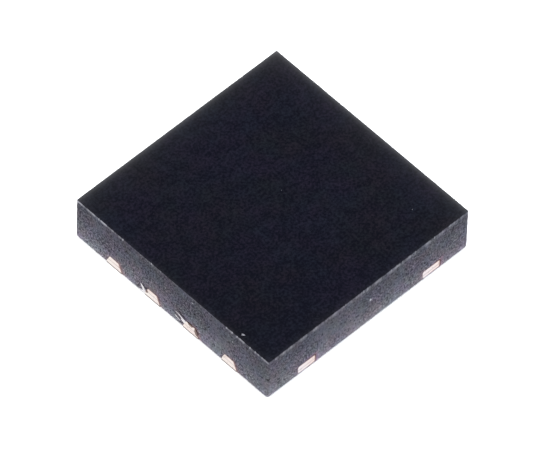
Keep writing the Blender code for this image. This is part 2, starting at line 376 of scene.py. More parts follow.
compoundLook = {
    "skinDark": (0.0000, 0.0004, 0.0050),
    "skinPale": ((0.0137, 0.0109, 0.0213), (0.0098, 0.0124, 0.0208)),  # warm and cool
    "skinHaze": ((1.0, 1.0, 0.87), (1.0, 1.0, 1.15)),
    "skinMix": (0.70, 0.25),  # shares of fine noise and of round grains
    "skinCloud": 0.30,  # change of tone from place to place
    "skinPaintedShade": (-0.14, 0.02),  # painted shade at the front corner, and painted light behind it
    "skinPaintedShadeSpan": (-3.6 * mm, 0.4 * mm),  # where that is, as x + y
    # painted light: how much paler the top is painted beside an arris, and how far that reaches
    "paintedRimLight": ((0.085, 0.036 * mm), (0.0155, 0.20 * mm)),
    "paintedRimLightNear": 0.09,  # share of it along the left and front arrises
    # pale grains in the top: x, y and size (mm)
    "skinSpecks": ((1.421, -1.430, 0.0046), (0.285, 0.112, 0.0038)),
    "skinGrain": 0.0022 * mm,  # height of the eroded mould's texture
    # resin and silica; the sawn faces are painted paler towards the underside: painted light from the
    # bright floor
    "sawnHigh": ((0.004, 0.004, 0.0155), (0.103, 0.101, 0.134)),
    "sawnLowPaintedLight": ((0.062, 0.060, 0.086), (0.486, 0.477, 0.552)),
    "paintedLightHeight": (0.40 * mm, 0.44 * mm),  # on left and right sides, and on front and rear ones
    "footShare": (0.075, 0.15),  # how much paler the side is made just above its lowest edge, there
    "footHeight": 0.04 * mm,
    "cornerPaintedLight": 0.09,  # painted light: how much paler the feet of the upright corners are painted
    "cornerPaintedLightReach": 0.030 * mm,
    "hueTint": ((1.07, 0.96, 1.01), (0.93, 1.03, 1.02)),
    "hazeTint": ((1.0, 1.0, 0.93), (1.0, 1.0, 1.08)),
    "sawnMix": (0.55, 0.45),
    "strength": (0.65, 1.40),  # of the grain, at its weakest and strongest
    "middleTone": 0.42,  # which the grain's strength doesn't change
    "lineShare": 0.05,
    "slowShare": 0.14,
    "fracture": (0.61, 0.61, 0.68),
    "pulledOutAndShade": (0.014, 0.013, 0.018),
    "hollowShare": 0.45,  # how dark the smallest hollows are
    "hollowSpan": (0.50, 0.80),  # tones of the grains that are hollows
    "stain": (0.190, 0.095, 0.080),
    "stainShare": 0.60,
    "stainReach": 0.038 * mm,
    "blush": ((1.42, 1.10, 1.06), (1.70, 1.26, 1.42)),  # copper smeared beside leads and bars
    "blushReach": 0.095 * mm,
    "oxideAndGapShade": (0.085, 0.034, 0.028),  # the thin dark line round a cut end: oxide, and painted shade of the gap round the end
    "oxideAndGapShadeShare": 0.75,
    "oxideAndGapShadeSpan": (0.60, 0.85),  # how near the outline it starts, and where it is full
    "sawnGrain": 0.0030 * mm,
    "sawnLine": 0.0004 * mm,
}

endSetup = {
    "plane": 0.02 * mm,  # what lies this near a side's plane is on that side
    "drag": 0.011 * mm,  # how far the rim inside an end is moved to its right
    "leeSpan": 0.09 * mm,  # how far from an end's middle the oxide still changes
    "leeShare": (0.35, 1.10),  # how heavy it is on its left and right
    "nearest": 0.001 * mm,  # what lies this near a plane or a level is in it
}


def middle(node):
    low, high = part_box(node)
    return (low + high) / 2


leadPitch = middle("lead_1").y - middle("lead_2").y


def cornersAt(node, axis, edge):
    # corners of a node's cut ends, in the planes at +edge and -edge on an axis
    corners = [v.co for v in frame["nodes"][node].data.vertices]
    return [co for co in corners if abs(abs(co[axis]) - edge) < endSetup["nearest"]]


def leadOutline():
    # half width at the shoulder, how fast it narrows upwards, and the height of a cut lead end
    ends = cornersAt("lead_2", 0, bodyHigh.x)
    centre = middle("lead_2").y
    levels = sorted({round(co.z, 7) for co in ends})
    widths = [
        max(abs(co.y - centre) for co in ends if abs(co.z - level) < endSetup["nearest"])
        for level in levels[-2:]
    ]
    slope = (widths[1] - widths[0]) / (levels[-1] - levels[-2])
    return widths[0] - slope * levels[-2], slope, levels[-1]


def barOutline():
    # the tie bars' middle, a bar's distance from it, its half width, and its lowest and highest point
    ends = cornersAt("die_paddle", 1, bodyHigh.y)
    left = [co.x for co in ends if co.x < 0]
    right = [co.x for co in ends if co.x > 0]
    leftBar = (min(left) + max(left)) / 2
    rightBar = (min(right) + max(right)) / 2
    heights = [co.z for co in ends]
    halfWidth = (max(right) - min(right)) / 2
    return (leftBar + rightBar) / 2, (rightBar - leftBar) / 2, halfWidth, min(heights), max(heights)


def makeCopperEdgeGroup():
    # how near a point is to a cut end's outline, from outside and from inside, and how far it lies to
    # the right of that end's middle
    inputs = {"Outside": 0.03, "Inside": 0.012}
    tree, given, result = newGroup("copperEdge", inputs, ("Outside", "Inside", "Across"))
    axes = objectAxes(tree)
    leadFoot, slope, leadTop = leadOutline()
    turns = maths("FRACT", divide(axes[1], leadPitch))
    offset = times(subtract(turns, 0.5), leadPitch)
    leadAcross = times(offset, signOf(axes[0]))
    flank = scaleAdd(axes[2], slope, leadFoot)
    leadPast = largest(subtract(axes[2], leadTop), subtract(absolute(axes[1]), 2 * leadPitch))
    barMiddle, barReach, barHalf, barLow, barHigh = barOutline()
    fromMiddle = subtract(axes[0], barMiddle)
    offset = scaleAdd(signOf(fromMiddle), -barReach, fromMiddle)
    barAcross = times(offset, times(signOf(axes[1]), -1.0))
    barPast = largest(subtract(axes[2], barHigh), subtract(barLow, axes[2]))
    ends = ((leadAcross, flank, leadPast, 0, bodyHigh.x), (barAcross, barHalf, barPast, 1, bodyHigh.y))
    # the blade left each end on its right, so the oxide is heavier there, and the painted shade of the
    # gap round the end with it
    plane = endSetup["plane"]
    span = endSetup["leeSpan"]
    for label, sign, dragged in (("Outside", -1.0, 0.0), ("Inside", 1.0, endSetup["drag"])):
        reach = divide(sign / mm, given[label])
        shares = []
        for across, width, past, axis, edge in ends:
            gap = largest(subtract(absolute(add(across, dragged)), width), past)
            near = scaleAdd(gap, reach, 1.0, clamp=True)
            onSide = isAbove(absolute(axes[axis]), edge - plane)
            lee = ramp(across, -span, span, *endSetup["leeShare"])
            shares.append(times(times(near, onSide), lee))
        plug(result[label], largest(*shares, clamp=True))
    onBar = isAbove(absolute(axes[1]), bodyHigh.y - plane)
    plug(result["Across"], divide(choose(onBar, leadAcross, barAcross), mm))
    return tree


copperEdge = makeCopperEdgeGroup()


def wearOf(tree, name):
    return addNode(tree, "Attribute", attribute_name=name).outputs["Fac"]


def makeSkinFinish():
    material, tree, shader = newMaterial("moulded_skin", 0.80, specular=0.10)
    look = compoundLook
    axes = objectAxes(tree)
    grain = placeGroup(tree, speckle, Grains=30, Noise=24)
    slow = cloudAt(tree, perMm=6.0, shift=0.004)
    hue = cloudAt(tree, perMm=2.6, shift=0.007)
    tone = grainTone(grain, *look["skinMix"])
    tone = scaleAdd(subtract(slow, 0.5), look["skinCloud"], tone)
    # painted shade towards the top's front corner, painted light behind it
    fall = ramp(add(axes[0], axes[1]), *look["skinPaintedShadeSpan"], *look["skinPaintedShade"])
    tone = add(tone, fall, clamp=True)
    skin = mix(tone, look["skinDark"], mix(hue, *look["skinPale"]))
    haze = cloudAt(tree, perMm=1.3, shift=0.011)
    skin = tinted(skin, mix(haze, *look["skinHaze"]))
    # painted light: the top is painted paler beside its arrises, most beside the rear and right ones
    paintedRimLight = 0.0
    for axis in (0, 1):
        for sign, share in ((-1.0, 1.0), (1.0, look["paintedRimLightNear"])):
            inward = scaleAdd(axes[axis], sign, half)
            for level, reach in look["paintedRimLight"]:
                fade = exponent(divide(inward, -reach))
                paintedRimLight = scaleAdd(fade, level * share, paintedRimLight)
    skin = mix(paintedRimLight, skin, grey(1.0))
    # fractured compound, with the painted highlight along the arrises
    broken = wearOf(tree, "scarAndHighlight")
    for x, y, size in look["skinSpecks"]:
        gap = gapFrom(tree, (x * mm, y * mm, bodyHigh.z))
        broken = largest(broken, ramp(gap, 0.4 * size * mm, size * mm, 1.0, 0.0))
    plug(shader["Base Color"], mix(broken, skin, look["fracture"]))
    plug(shader["Normal"], bump(grain["Noise"], look["skinGrain"]))
    return material


def makeSawnFinish():
    look = compoundLook
    material, tree, shader = newMaterial("sawn_compound", 0.72, specular=0.25)
    grain = placeGroup(tree, speckle, Grains=34, Noise=32, Flatness=0.90)
    hollows = placeGroup(tree, speckle, Grains=26, Noise=50, Flatness=0.90)
    lines = linesAt(tree, perMm=45, run=0.04)
    hue = cloudAt(tree, perMm=3.6, shift=0.002)
    haze = cloudAt(tree, perMm=4.4, shift=0.009)
    patch = cloudAt(tree, perMm=1.6, shift=0.013)
    slow = cloudAt(tree, perMm=2.2)
    middleTone = look["middleTone"]
    tone = grainTone(grain, *look["sawnMix"])
    tone = scaleAdd(subtract(tone, middleTone), choose(patch, *look["strength"]), middleTone)
    tone = scaleAdd(lines, look["lineShare"], tone)
    tone = scaleAdd(slow, look["slowShare"], tone)
    hollow = ramp(hollows["Grain"], *look["hollowSpan"])
    tone = scaleAdd(hollow, -look["hollowShare"], tone, clamp=True)
    axes = objectAxes(tree)
    above = subtract(axes[2], bodyLow.z)
    inward = [subtract(half, absolute(axes[axis])) for axis in (0, 1)]
    onFront = isBelow(inward[1], endSetup["plane"])
    # painted light: the sides are painted paler towards the floor
    pale = exponent(times(divide(above, choose(onFront, *look["paintedLightHeight"])), -1.0), clamp=True)
    sawn = mix(pale, mix(tone, *look["sawnHigh"]), mix(tone, *look["sawnLowPaintedLight"]))
    sawn = tinted(sawn, mix(hue, *look["hueTint"]))
    sawn = tinted(sawn, mix(haze, *look["hazeTint"]))
    # painted light: the feet of the upright corners are painted paler, more so low down
    corner = times(exponent(divide(largest(*inward), -look["cornerPaintedLightReach"])), look["cornerPaintedLight"])
    sawn = mix(times(corner, pale), sawn, grey(1.0))
    foot = exponent(divide(above, -look["footHeight"]))
    sawn = mix(times(foot, choose(onFront, *look["footShare"])), sawn, grey(1.0))
    wide = placeGroup(tree, copperEdge, Outside=look["blushReach"] / mm)["Outside"]
    sawn = tinted(sawn, mix(wide, grey(1.0), mix(onFront, *look["blush"])))
    near = placeGroup(tree, copperEdge, Outside=look["stainReach"] / mm)["Outside"]
    stained = largest(near, wearOf(tree, "stained"))
    sawn = mix(times(stained, look["stainShare"]), sawn, look["stain"])
    # a thin dark line round each cut end: oxide, and painted shade of the gap round the end
    line = ramp(near, *look["oxideAndGapShadeSpan"], 0.0, look["oxideAndGapShadeShare"])
    sawn = mix(line, sawn, look["oxideAndGapShade"])
    # dark resin of pulled-out grains, and painted shade deeper in pits and grooves
    pitted = mix(wearOf(tree, "pitResinAndShade"), sawn, look["pulledOutAndShade"])
    # fractured compound, with the painted highlight along the arrises
    plug(shader["Base Color"], mix(wearOf(tree, "scarAndHighlight"), pitted, look["fracture"]))
    rough = bump(tone, look["sawnGrain"])
    plug(shader["Normal"], bump(lines, look["sawnLine"], Normal=rough))
    return material


# Moulded body: shape


def inMm(tables):
    # for the longest tables, which are written in thousandths of a mm
    return {name: [[value / 1000 for value in row] for row in rows] for name, rows in tables.items()}


bodyShape = {
    "inset": 0.0005 * mm,  # keeps the new faces clear of the frame's
    "step": 0.05 * mm,  # of the sides' cells; those of the top and underside are twice this
    "sideBand": 2.2,  # in steps: how far onto the top and the underside the fine cells reach
    "arrisBands": (0.075 * mm, 0.038 * mm),  # each is cut twice as fine as the one before
    "crest": 0.050 * mm,  # the strip under the top arris is cut finest
    "crestTop": 0.013 * mm,
    "lowerRound": 0.010 * mm,
    "cornerRound": 0.014 * mm,
    "lowerWaves": (0.7, 20),  # how much these two rounds vary, and how often per mm
    "cornerWaves": (0.5, 12),
    "footRound": 0.022 * mm,  # what rounds a corner's foot as well, and how far up
    "footReach": 0.035 * mm,
    "level": 0.9,  # least rise or fall of a level face's direction
    "topDepth": 0.02 * mm,  # level faces deeper in than this aren't skin
    "undersideDepth": 0.0010 * mm,
    "sharpAngle": 32,
    # rounds of cutting near a scar, in steps: how far from it, and the length of the cut cells
    "refining": ((1.1, 1.2), (0.45, 0.6), (0.12, 0.3)),
}

# A side's outward direction, and the direction along it from left to right
bodySides = {
    "left": (Vector((-1, 0, 0)), Vector((0, -1, 0))),
    "front": (Vector((0, -1, 0)), Vector((1, 0, 0))),
    "right": (Vector((1, 0, 0)), Vector((0, 1, 0))),
    "rear": (Vector((0, 1, 0)), Vector((-1, 0, 0))),
}
sideNumber = {side: number for number, side in enumerate(bodySides)}

edgeWearAndHighlight = {
    "rim": 0.004 * mm,  # dark skin that is left round the top arris
    # from and to how far under the arris the pale line reaches (mm): fractured compound with a painted
    # highlight
    "band": {
        "left": (0.004, 0.046), "front": (0.022, 0.0625), "right": (0.004, 0.046), "rear": (0.004, 0.046),
    },
    "recess": 0.006 * mm,
    "leastRecess": 0.0008 * mm,
    "dashesPerMm": 8.0,
    "crumbsPerMm": 30.0,
    "dash": (0.40, 2.4, 0.9),  # usual level, and shares of the slow and the fine noise
    "steadyWaves": 0.7,
    "crumbLight": 0.90,
    "brokenFrom": 0.003 * mm,  # depth where a scar starts to be pale, and over which it gets paler
    "brokenSpan": 0.004 * mm,
    "brokenLight": 0.75,
    # along a top arris: from, to (mm from its middle), wear and painted highlight everywhere, and in
    # dashes
    "stretches": {
        "left": (
            (-2.00, -1.23, 0.19, 0.46), (-1.23, -1.06, 0.04, 0.26), (-0.66, -0.22, 0.04, 0.22),
            (1.85, 2.00, 0.36, 0.14), (1.12, 1.80, 0.02, 0.44), (-2.00, 2.00, 0.00, 0.06),
        ),
        "front": ((-2.00, 2.00, 0.08, 0.47),),
        "right": ((0.40, 1.30, 0.10, 0.40), (-2.00, 2.00, 0.06, 0.16)),
        "rear": ((-1.70, -0.90, 0.10, 0.40), (-2.00, 2.00, 0.06, 0.16)),
    },
    # crumbs broken out of a top arris: place along it and size (thousandths of a mm)
    "crumbs": inMm({
        "left": (
            (-1534, 9), (-1032, 11), (-438, 9), (1129, 9), (1243, 11), (1346, 10), (1409, 11), (1615, 10),
            (1720, 9),
        ),
        "front": (
            (-460, 8), (-105, 10), (-25, 10), (450, 9), (566, 12), (680, 8), (931, 9), (1315, 10),
            (1638, 11),
        ),
        "right": ((-1100, 12), (660, 10), (900, 13)),
        "rear": ((-1300, 13), (250, 10)),
    }),
    "strayCrumbs": 14,  # on each top arris, and on each lower one
    "straySize": (0.005 * mm, 0.010 * mm),
    "crumbShape": (0.45, 0.3),  # share of the size that is its depth, and how ragged it is
    "fleckShape": (0.35, 0.3),
    "lean": (0.0, 0.5),  # how far a crumb lies on the side
    # chips in the top face: x, y and size (mm)
    "fleck": ((-1.919, -1.368, 0.008), (-1.918, -1.385, 0.008), (-1.917, -1.402, 0.007)),
}

pitSetup = {
    "perSide": 78,
    "opening": (0.008 * mm, 0.019 * mm),
    "shape": (0.55, 0.25),  # share of the size that is its depth, and how ragged it is
    "fullDepth": 0.006 * mm,  # pits and grooves are painted darkest from here down: dark resin and painted shade
    "smallness": 2.2,  # the higher, the more of the pits are small
    "flatness": 0.5,  # height of a cluster beside its width
    "margin": 0.05 * mm,
    # along and up from the middle of the underside (mm), spread, count
    "clusters": {
        "left": ((-0.95, 0.62, 0.18, 20), (0.65, 0.52, 0.28, 16)),
        "front": ((-1.55, 0.40, 0.22, 12), (0.4, 0.5, 0.5, 8)),
        "right": ((0.5, 0.4, 0.4, 10),),
        "rear": ((-0.6, 0.5, 0.4, 10),),
    },
    # single large ones: along, up and size (thousandths of a mm)
    "large": inMm({
        "left": (
            (1987, 421, 24), (763, 483, 17), (823, 330, 18), (1111, 624, 16), (-1458, 308, 15),
            (-1302, 570, 13), (-1024, 747, 18), (470, 510, 20), (0, 330, 18), (-1180, 550, 16),
            (-890, 450, 17), (1800, 570, 17), (-950, 490, 15), (-780, 480, 14), (120, 470, 15),
            (620, 440, 14), (870, 540, 13), (1300, 490, 14), (-150, 470, 14),
        ),
        "front": (
            (-1985, 421, 22), (-1832, 443, 16), (-1783, 455, 17), (1132, 386, 19), (100, 369, 14),
            (100, 455, 11), (-110, 260, 16), (540, 550, 13),
        ),
        "right": ((-400, 300, 18),),
        "rear": ((1100, 500, 18),),
    }),
}

# Pale grains that the blade cut through: along, up and size (mm)
paleGrains = {
    "front": ((0.045, 0.489, 0.018), (-1.770, 0.510, 0.0046)),
    "left": (
        (0.583, 0.182, 0.009), (0.426, 0.733, 0.005), (1.260, 0.630, 0.0075), (0.950, 0.590, 0.0045),
        (-1.100, 0.630, 0.0045), (-0.130, 0.560, 0.0045),
    ),
}

# Oxide that the blade dragged far from the copper: along, up, size (mm) and strength, on the left side
stainPatches = (
    (0.490, 0.180, 0.050, 1.0), (0.540, 0.155, 0.050, 1.0), (0.575, 0.115, 0.035, 0.8),
    (0.450, 0.215, 0.050, 0.5), (-0.450, 0.235, 0.060, 0.55), (-0.370, 0.255, 0.060, 0.55),
    (-0.272, 0.150, 0.040, 0.7), (-1.070, 0.130, 0.040, 0.6), (1.325, 0.130, 0.035, 0.5),
)

# Scratches that the blade tore: along, up, half width and depth of places on them (thousandths of a mm)
tornGrooves = inMm({
    "leadTwoNotch": (
        (-622, 212, 5, 4), (-608, 176, 14, 20), (-590, 147, 17, 26), (-566, 126, 19, 28),
        (-545, 137, 16, 24), (-524, 168, 13, 18), (-500, 196, 10, 10),
    ),
    "leadTwoHair": ((-664, 180, 4, 4), (-678, 132, 8, 12), (-693, 86, 9, 12), (-706, 45, 5, 5)),
    "leadTwoHairFar": ((-690, 182, 3, 3), (-704, 144, 7, 8), (-718, 105, 4, 3)),
    "leadThreeScratch": (
        (66, 345, 6, 5), (126, 293, 13, 14), (165, 260, 17, 22), (211, 236, 19, 28),
        (251, 219, 18, 28), (311, 201, 14, 22), (360, 191, 12, 18), (422, 192, 11, 16),
        (500, 176, 13, 18), (552, 125, 13, 18), (577, 72, 6, 4),
    ),
    "leadThreeLower": (
        (70, 150, 4, 3), (100, 144, 10, 8), (140, 131, 8, 5), (184, 126, 10, 8), (212, 112, 6, 4),
    ),
    "leadThreeFoot": (
        (152, 30, 4, 3), (176, 38, 13, 12), (200, 50, 16, 20), (222, 60, 10, 8), (238, 68, 4, 3),
    ),
})

# Metal that the blade dragged out of two of the leads, as the grooves are given
draggedMetal = inMm({
    "lead_two_burr": (
        (-651, 162, 5, 4), (-634, 138, 18, 9), (-615, 112, 25, 12), (-598, 84, 31, 14),
        (-585, 56, 34, 14), (-566, 34, 29, 13), (-540, 20, 17, 10),
    ),
    "lead_two_foot": ((-672, 16, 3, 4), (-640, 18, 10, 7), (-600, 17, 13, 8), (-560, 16, 12, 8)),
    "lead_three_smear": (
        (82, 207, 3, 3), (122, 199, 8, 6), (163, 184, 11, 8), (205, 163, 15, 9), (240, 146, 20, 10),
        (275, 132, 21, 10), (300, 120, 14, 8),
    ),
    "lead_three_tab": (
        (188, 130, 3, 3), (216, 120, 13, 8), (245, 104, 22, 9), (275, 90, 20, 9), (300, 80, 12, 8),
    ),
    "lead_three_hair": ((66, 114, 3, 3), (100, 102, 7, 5), (140, 89, 7, 5), (178, 77, 3, 3)),
})

# The seat of dragged metal, as shares of the metal's depth and width, with a margin (mm)
seatSetup = {"depth": 1.25, "width": 1.3, "margin": 0.003}


def clamped(value):
    return min(1.0, max(0.0, value))


def sidePoint(side, along, up):
    outward, across = bodySides[side]
    return outward * half + across * along + Vector((0, 0, bodyLow.z + up))


def sideGap(side, co):
    return half - co.dot(bodySides[side][0])


def skinGaps(co):
    # how far a point lies inside each pair of faces
    return [
        min(co.x - bodyLow.x, bodyHigh.x - co.x), min(co.y - bodyLow.y, bodyHigh.y - co.y),
        co.z - bodyLow.z, bodyHigh.z - co.z,
    ]


def splitEdges(bm, edges, cuts=1):
    bmesh.ops.subdivide_edges(bm, edges=edges, cuts=cuts, use_grid_fill=True)


def splitWhere(bm, test):
    chosen = {v for v in bm.verts if test(v.co)}
    splitEdges(bm, [e for e in bm.edges if chosen.issuperset(e.verts)])


def onCrest(co):
    gaps = skinGaps(co)
    return min(gaps[:2]) < bodyShape["crestTop"] and gaps[3] < bodyShape["crest"]


def makeBlank():
    bm = bmesh.new()
    bmesh.ops.create_cube(bm, size=1.0)
    size = bodySize - Vector((2, 2, 2)) * bodyShape["inset"]
    bmesh.ops.scale(bm, vec=size, verts=bm.verts)
    bmesh.ops.translate(bm, vec=(bodyLow + bodyHigh) / 2, verts=bm.verts)
    level = [e for e in bm.edges if e.verts[0].co.z == e.verts[1].co.z]
    splitEdges(bm, level, round(size.x / bodyShape["step"] / 2) - 1)
    upright = [e for e in bm.edges if abs(e.verts[0].co.z - e.verts[1].co.z) > size.z / 2]
    splitEdges(bm, upright, round(size.z / bodyShape["step"] / 2) - 1)
    splitWhere(bm, lambda co: min(skinGaps(co)[:2]) < bodyShape["sideBand"] * bodyShape["step"])
    for band in bodyShape["arrisBands"]:
        splitWhere(bm, lambda co: sorted(skinGaps(co))[1] < band)
    splitWhere(bm, onCrest)
    return bm


def pointTree(points):
    tree = kdtree.KDTree(len(points))
    for index, point in enumerate(points):
        tree.insert(point, index)
    tree.balance()
    return tree


def vertexTree(bm):
    bm.verts.ensure_lookup_table()
    return pointTree([vert.co for vert in bm.verts])


def choosePits(rng):
    # each pit is its side, its middle and its size
    pits = []
    margin = pitSetup["margin"]
    for side in bodySides:
        places = [
            (rng.uniform(margin - half, half - margin), rng.uniform(margin, bodySize.z - margin))
            for _ in range(pitSetup["perSide"])
        ]
        for along, up, spread, count in pitSetup["clusters"][side]:
            places += [
                (rng.gauss(along, spread) * mm, rng.gauss(up, spread * pitSetup["flatness"]) * mm)
                for _ in range(count)
            ]
        for along, up in places:
            if abs(along) < half - margin / 3 and margin < up < bodySize.z - margin * 1.5:
                least, most = pitSetup["opening"]
                opening = least + (most - least) * rng.random() ** pitSetup["smallness"]
                pits.append((side, sidePoint(side, along, up), opening))
        for along, up, opening in pitSetup["large"][side]:
            pits.append((side, sidePoint(side, along * mm, up * mm), opening * mm))
    return pits


def listPaleGrains():
    return [
        (side, sidePoint(side, along * mm, up * mm), size * mm)
        for side, grains in paleGrains.items() for along, up, size in grains
    ]


def listFlecks():
    return [(Vector((x * mm, y * mm, bodyHigh.z)), size * mm) for x, y, size in edgeWearAndHighlight["fleck"]]


def routePoints(stations, count=5):
    # points between the stations, each with its half width and depth, all in metres
    points = []
    for first, second in zip(stations, stations[1:]):
        for step in range(count):
            share = step / count
            points.append([(a + (b - a) * share) * mm for a, b in zip(first, second)])
    points.append([value * mm for value in stations[-1]])
    return points


def placesAlong(routes):
    return [(sidePoint("left", a, b), c) for route in routes for a, b, c, _ in routePoints(route)]


def refineNear(bm, places):
    # cuts the cells round each place finer
    step = bodyShape["step"]
    for marginShare, lengthShare in bodyShape["refining"]:
        margin = marginShare * step
        longest = lengthShare * step
        tree = vertexTree(bm)
        chosen = {
            bm.verts[index] for centre, opening in places
            for _, index, _ in tree.find_range(centre, opening + margin)
        }
        edges = [
            e for e in bm.edges
            if chosen.issuperset(e.verts) and longest / 2 < e.calc_length() < 2 * longest
        ]
        splitEdges(bm, edges)


def bite(bm, tree, centre, outward, opening, depthShare, ragged):
    # presses a round scar into the surface
    depth = opening * depthShare
    radius = (opening ** 2 + depth ** 2) / (2 * depth)
    middlePoint = centre + outward * (radius - depth)
    for co, index, _ in tree.find_range(middlePoint, radius * (1 + ragged)):
        vert = bm.verts[index]
        arm = vert.co - middlePoint
        reach = radius * (1 + ragged * noise.noise(co / opening * 1.3))
        if 0 < arm.length < reach:
            vert.co = middlePoint + arm.normalized() * reach


def wearAndHighlightLevel(side, along):
    # 0 where a top arris is whole, up to 1 in the middle of a worn dash; it sets how deep the arris is
    # worn and how strong its painted highlight is
    for start, end, steady, dashed in edgeWearAndHighlight["stretches"][side]:
        if start * mm <= along <= end * mm:
            break
    seed = 17.0 * sideNumber[side]
    slow = noise.noise((along / mm * edgeWearAndHighlight["dashesPerMm"], seed, 0))
    fine = noise.noise((along / mm * edgeWearAndHighlight["crumbsPerMm"], seed, 5))
    usual, slowShare, fineShare = edgeWearAndHighlight["dash"]
    dash = clamped(usual + slowShare * slow + fineShare * fine)
    level = steady * (1 + edgeWearAndHighlight["steadyWaves"] * fine) + dashed * dash
    for place, size in edgeWearAndHighlight["crumbs"][side]:
        level = max(level, edgeWearAndHighlight["crumbLight"] * math.exp(-((along / mm - place) / size) ** 2))
    return clamped(level)


def lineShare(side, drop):
    # how much of the pale line, fractured compound with a painted highlight, there is this far below a
    # top arris
    start, end = [limit * mm for limit in edgeWearAndHighlight["band"][side]]
    return clamped((drop - start / 2) / start) * clamped((end - drop) / (0.3 * end))


def roundOff(vert, first, second, gapOne, gapTwo, radius):
    # moves a vertex onto the round between two faces, given their outward directions
    if gapOne < radius and gapTwo < radius:
        arm = first * (radius - gapOne) + second * (radius - gapTwo)
        if arm.length > radius:
            vert.co -= arm * (1 - radius / arm.length)


def wearArrises(bm):
    up = Vector((0, 0, 1))
    reach = bodyShape["cornerRound"] + bodyShape["footRound"]
    for side, (outward, across) in bodySides.items():
        for vert in bm.verts:
            gap = sideGap(side, vert.co)
            if gap > reach:
                continue
            along = vert.co.dot(across)
            drop = bodyHigh.z - vert.co.z
            lift = vert.co.z - bodyLow.z
            reachDown = edgeWearAndHighlight["band"][side][1] * mm
            if gap < edgeWearAndHighlight["recess"] and drop < reachDown:
                depth = edgeWearAndHighlight["recess"] * wearAndHighlightLevel(side, along) * (1 - drop / reachDown)
                vert.co -= outward * max(0.0, edgeWearAndHighlight["leastRecess"] + depth - gap)
            waves, perMm = bodyShape["lowerWaves"]
            ragged = 1 + waves * noise.noise((along / mm * perMm, gap, 8.0 * sideNumber[side]))
            roundOff(vert, outward, -up, gap, lift, bodyShape["lowerRound"] * ragged)
            foot = bodyShape["footRound"] * math.exp(-lift / bodyShape["footReach"])
            waves, perMm = bodyShape["cornerWaves"]
            ragged = 1 + waves * noise.noise((lift / mm * perMm, 3.0, along / mm))
            corner = bodyShape["cornerRound"] * ragged + foot
            roundOff(vert, outward, across, gap, half - along, corner)


def chipArrises(bm, rng):
    tree = vertexTree(bm)
    up = Vector((0, 0, 1))
    for side, (outward, _) in bodySides.items():
        crumbs = [(place * mm, size * mm, up) for place, size in edgeWearAndHighlight["crumbs"][side]]
        for direction in (up, -up):
            for _ in range(edgeWearAndHighlight["strayCrumbs"]):
                crumbs.append((rng.uniform(-half, half), rng.uniform(*edgeWearAndHighlight["straySize"]), direction))
        for along, opening, direction in crumbs:
            lean = rng.uniform(*edgeWearAndHighlight["lean"])
            facing = (outward * (1 + lean) + direction * (1 - lean)).normalized()
            level = bodySize.z if direction == up else 0.0
            bite(bm, tree, sidePoint(side, along, level), facing, opening, *edgeWearAndHighlight["crumbShape"])
    for centre, size in listFlecks():
        bite(bm, tree, centre, up, size, *edgeWearAndHighlight["fleckShape"])


def pitSides(bm, pits):
    tree = vertexTree(bm)
    for side, centre, opening in pits:
        bite(bm, tree, centre, bodySides[side][0], opening, *pitSetup["shape"])


def listRoutes():
    # grooves and seats of dragged metal, each with a share of its depth
    seats = []
    for route in draggedMetal.values():
        seat = [(a, b, c * seatSetup["width"] + seatSetup["margin"], d) for a, b, c, d in route]
        seats.append((seat, seatSetup["depth"]))
    return [(route, 1.0) for route in tornGrooves.values()] + seats


def pressRoutes(bm):
    # presses grooves of changing width and depth into the left side
    tree = vertexTree(bm)
    for route, share in listRoutes():
        wanted = {}
        for along, up, halfWidth, depth in routePoints(route):
            for _, index, gap in tree.find_range(sidePoint("left", along, up), halfWidth):
                level = depth * share * (1 - (gap / halfWidth) ** 2)
                wanted[index] = max(wanted.get(index, 0.0), level)
        for index, depth in wanted.items():
            vert = bm.verts[index]
            vert.co -= bodySides["left"][0] * max(0.0, depth - sideGap("left", vert.co))


def mergedCopy(node):
    bm = bmesh.new()
    bm.from_mesh(frame["nodes"][node].data)
    bmesh.ops.remove_doubles(bm, verts=bm.verts, dist=1e-9)
    return meshObject("pocketed", bm)


def keepCommon(outer, inner):
    # what lies in both, as a mesh: the sculpted block with the frame's pockets
    common = outer.modifiers.new("pockets", "BOOLEAN")
    common.operation = "INTERSECT"
    common.solver = "EXACT"
    common.object = inner
    graph = bpy.context.evaluated_depsgraph_get()
    mesh = bpy.data.meshes.new_from_object(outer.evaluated_get(graph))
    for used in (outer, inner):
        bpy.data.objects.remove(used)
    return mesh


def stainLevel(co):
    if sideGap("left", co) > endSetup["plane"]:
        return 0.0
    ragged = 1 + 0.35 * noise.noise(co / mm * 25)
    level = 0.0
    for along, up, size, strength in stainPatches:
        gap = (co - sidePoint("left", along * mm, up * mm)).length / (size * mm)
        level = max(level, strength * ragged * math.exp(-gap * gap))
    return min(1.0, level)


